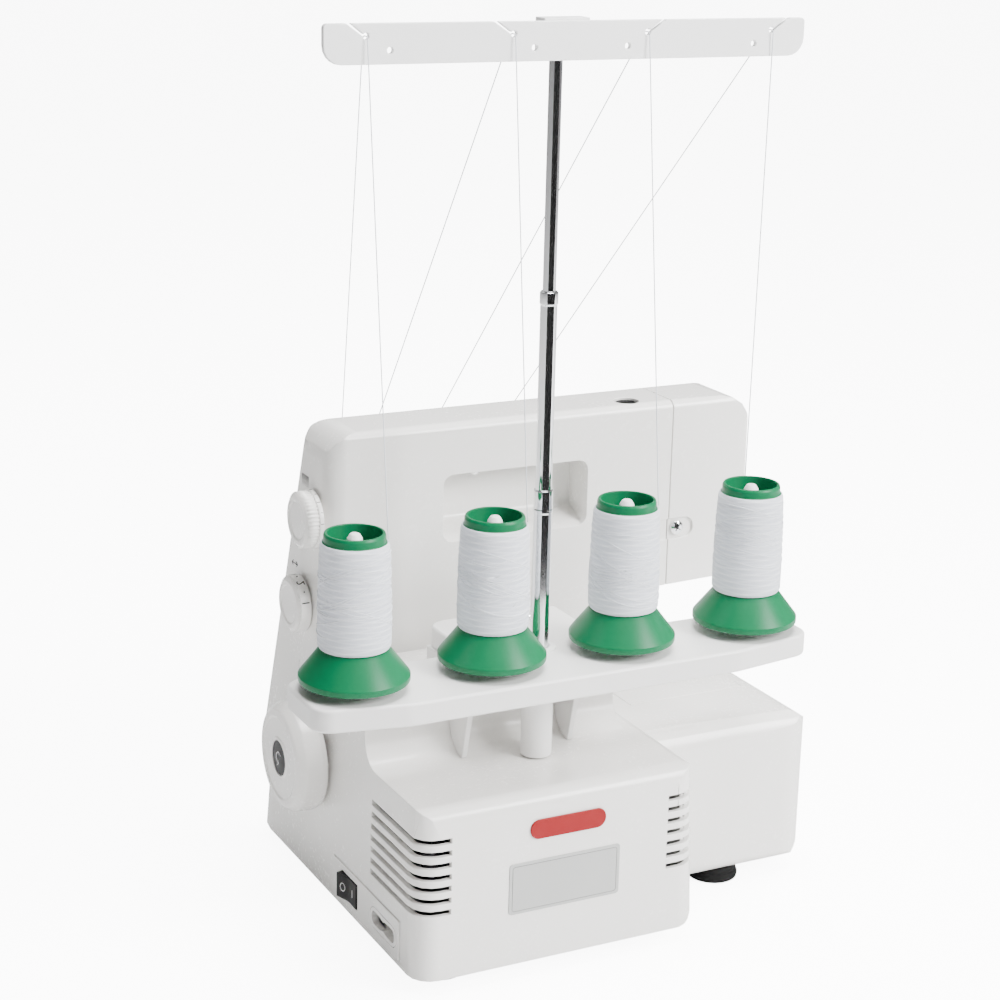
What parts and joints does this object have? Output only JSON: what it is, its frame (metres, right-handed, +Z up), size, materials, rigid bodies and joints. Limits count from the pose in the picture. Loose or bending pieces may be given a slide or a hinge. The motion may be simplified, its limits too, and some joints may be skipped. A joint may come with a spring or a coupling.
{
  "type": "serger overlock machine",
  "caption": "Overlock sewing machine with a stepped white body, knife and loopers, and a rear stand holding thread spools under a telescopic guide mast.",
  "frame": {"origin": "centre of the object's bounding box at table height", "axes": "+X to the operator's right (handwheel side), +Y to the rear (thread stand side), +Z up"},
  "size_m": [0.3312, 0.2391, 0.4955],
  "materials": {
    "shell": "glossy off-white moulded shell",
    "stand": "satin white moulding",
    "steel": "ground steel",
    "base": "painted sheet",
    "label": "plain foil label, no text",
    "badge": "plain red badge, no mark",
    "black": "black moulding",
    "chrome": "polished plating",
    "alloy": "die-cast alloy",
    "belt": "rubber belt",
    "lamp": "clear bulb",
    "rubber": "rubber foot",
    "core": "emerald moulding",
    "thread": "wound polyester thread"
  },
  "bodies": {
    "machine": {"housing": "shell", "face_cover": "shell", "tension_panel": "shell", "cloth_plate": "shell", "needle_plate": "steel", "floor_plate": "base", "foot_1": "rubber", "foot_2": "rubber", "foot_3": "rubber", "foot_4": "rubber", "rating_plate": "label", "rear_badge": "badge", "switch_panel": "shell", "inlet_socket": "shell", "front_guide": "steel", "motor": "alloy", "inner_frame": "alloy", "belt": "belt", "lamp_bulb": "lamp", "cover_screw": "chrome", "spool_plate": "stand", "pole_lower": "chrome", "thread_1": "thread", "thread_2": "thread", "thread_3": "thread", "thread_4": "thread"},
    "drive": {"handwheel": "shell", "wheel_badge": "black", "main_shaft": "steel"},
    "motor_rotor": {"motor_pulley": "steel"},
    "needle": {"needle_bar": "chrome", "needle_clamp": "steel"},
    "upper_cutter": {"upper_knife": "steel"},
    "looper_up": {"upper_looper": "steel"},
    "looper_low": {"lower_looper": "steel"},
    "dog_front": {"feed_dog_front": "steel"},
    "dog_rear": {"feed_dog_rear": "steel"},
    "lifter": {"presser_lifter": "steel"},
    "presser": {"presser_bar": "chrome", "presser_foot": "chrome"},
    "pressure_knob": {"pressure_screw": "black"},
    "feed_knob": {"feed_dial": "shell"},
    "length_knob": {"length_dial": "shell"},
    "switch": {"rocker": "black"},
    "front_door": {"looper_cover": "shell"},
    "mast_middle": {"pole_middle": "chrome"},
    "mast_top": {"pole_upper": "chrome", "guide_bar": "stand"},
    "tension_1": {"tension_dial_1": "shell"},
    "tension_2": {"tension_dial_2": "shell"},
    "tension_3": {"tension_dial_3": "shell"},
    "tension_4": {"tension_dial_4": "shell"},
    "spool_1": {"spool_core_1": "core", "thread_cone_1": "thread"},
    "spool_2": {"spool_core_2": "core", "thread_cone_2": "thread"},
    "spool_3": {"spool_core_3": "core", "thread_cone_3": "thread"},
    "spool_4": {"spool_core_4": "core", "thread_cone_4": "thread"}
  },
  "joints": [
    {"name": "handwheel_spin", "type": "hinge", "parent": "machine", "child": "drive", "pos_m": [0, -0.0248, 0.0838], "axis": [1, 0, 0], "continuous": true},
    {"name": "motor_spin", "type": "hinge", "parent": "machine", "child": "motor_rotor", "pos_m": [0, 0.076, 0.056], "axis": [1, 0, 0], "continuous": true},
    {"name": "needle_slide", "type": "slide", "parent": "machine", "child": "needle", "axis": [0, 0, 1], "range_m": [-0.024, 0]},
    {"name": "knife_slide", "type": "slide", "parent": "machine", "child": "upper_cutter", "axis": [0, 0, 1], "range_m": [-0.01, 0]},
    {"name": "upper_looper_swing", "type": "hinge", "parent": "machine", "child": "looper_up", "pos_m": [-0.07, -0.0445, 0.06], "axis": [0, 1, 0], "range_deg": [0, 24]},
    {"name": "lower_looper_swing", "type": "hinge", "parent": "machine", "child": "looper_low", "pos_m": [-0.074, -0.0545, 0.052], "axis": [0, 1, 0], "range_deg": [0, 20]},
    {"name": "rear_feed_slide", "type": "slide", "parent": "machine", "child": "dog_rear", "axis": [0, 1, 0], "range_m": [-0.002, 0.002]},
    {"name": "front_feed_slide", "type": "slide", "parent": "machine", "child": "dog_front", "axis": [0, 1, 0], "range_m": [-0.002, 0.002]},
    {"name": "presser_lift_lever", "type": "hinge", "parent": "machine", "child": "lifter", "pos_m": [-0.072, -0.0246, 0.162], "axis": [0, 1, 0], "range_deg": [0, 60]},
    {"name": "presser_slide", "type": "slide", "parent": "machine", "child": "presser", "axis": [0, 0, 1], "range_m": [0, 0.006]},
    {"name": "pressure_screw_turn", "type": "hinge", "parent": "machine", "child": "pressure_knob", "pos_m": [-0.0865, -0.0305, 0.26], "axis": [0, 0, 1], "range_deg": [-175, 175]},
    {"name": "feed_dial_turn", "type": "hinge", "parent": "machine", "child": "feed_knob", "pos_m": [0.112, -0.0364, 0.2176], "axis": [1, 0, 0], "range_deg": [-150, 150]},
    {"name": "length_dial_turn", "type": "hinge", "parent": "machine", "child": "length_knob", "pos_m": [0.112, -0.0496, 0.1646], "axis": [1, 0, 0], "range_deg": [-150, 150]},
    {"name": "power_rocker", "type": "hinge", "parent": "machine", "child": "switch", "pos_m": [0.1136, 0.0312, 0.024], "axis": [0, 0, 1], "range_deg": [-16, 0]},
    {"name": "looper_cover_hinge", "type": "hinge", "parent": "machine", "child": "front_door", "pos_m": [0, -0.11772, 0.0283], "axis": [1, 0, 0], "range_deg": [0, 75]},
    {"name": "mast_middle_slide", "type": "slide", "parent": "machine", "child": "mast_middle", "axis": [0, 0, 1], "range_m": [-0.095, 0], "deforming": ["thread_1", "thread_2", "thread_3", "thread_4"]},
    {"name": "mast_top_slide", "type": "slide", "parent": "mast_middle", "child": "mast_top", "axis": [0, 0, 1], "range_m": [-0.095, 0]},
    {"name": "tension_turn_1", "type": "hinge", "parent": "machine", "child": "tension_1", "pos_m": [-0.03, -0.06767, 0.198], "axis": [1, 0, 0], "range_deg": [-150, 150]},
    {"name": "tension_turn_2", "type": "hinge", "parent": "machine", "child": "tension_2", "pos_m": [0.004, -0.06767, 0.198], "axis": [1, 0, 0], "range_deg": [-150, 150]},
    {"name": "tension_turn_3", "type": "hinge", "parent": "machine", "child": "tension_3", "pos_m": [0.038, -0.06767, 0.198], "axis": [1, 0, 0], "range_deg": [-150, 150]},
    {"name": "tension_turn_4", "type": "hinge", "parent": "machine", "child": "tension_4", "pos_m": [0.072, -0.06767, 0.198], "axis": [1, 0, 0], "range_deg": [-150, 150]},
    {"name": "spool_spin_1", "type": "hinge", "parent": "machine", "child": "spool_1", "pos_m": [0.13535, 0.0872, 0.2], "axis": [0, 0, 1], "continuous": true},
    {"name": "spool_spin_2", "type": "hinge", "parent": "machine", "child": "spool_2", "pos_m": [0.05765, 0.0872, 0.2], "axis": [0, 0, 1], "continuous": true},
    {"name": "spool_spin_3", "type": "hinge", "parent": "machine", "child": "spool_3", "pos_m": [-0.02005, 0.0872, 0.2], "axis": [0, 0, 1], "continuous": true},
    {"name": "spool_spin_4", "type": "hinge", "parent": "machine", "child": "spool_4", "pos_m": [-0.09775, 0.0872, 0.2], "axis": [0, 0, 1], "continuous": true}
  ],
  "couplings": [
    {"joint": "motor_spin", "follows": "handwheel_spin", "ratio": 3.375},
    {"joint": "knife_slide", "follows": "needle_slide", "ratio": 0.41667},
    {"joint": "upper_looper_swing", "follows": "needle_slide", "rad_per_m": -17.436},
    {"joint": "lower_looper_swing", "follows": "needle_slide", "rad_per_m": -14.53},
    {"joint": "front_feed_slide", "follows": "rear_feed_slide", "ratio": 1},
    {"joint": "presser_lift_lever", "follows": "presser_slide", "rad_per_m": 174.36},
    {"joint": "mast_top_slide", "follows": "mast_middle_slide", "ratio": 1}
  ]
}
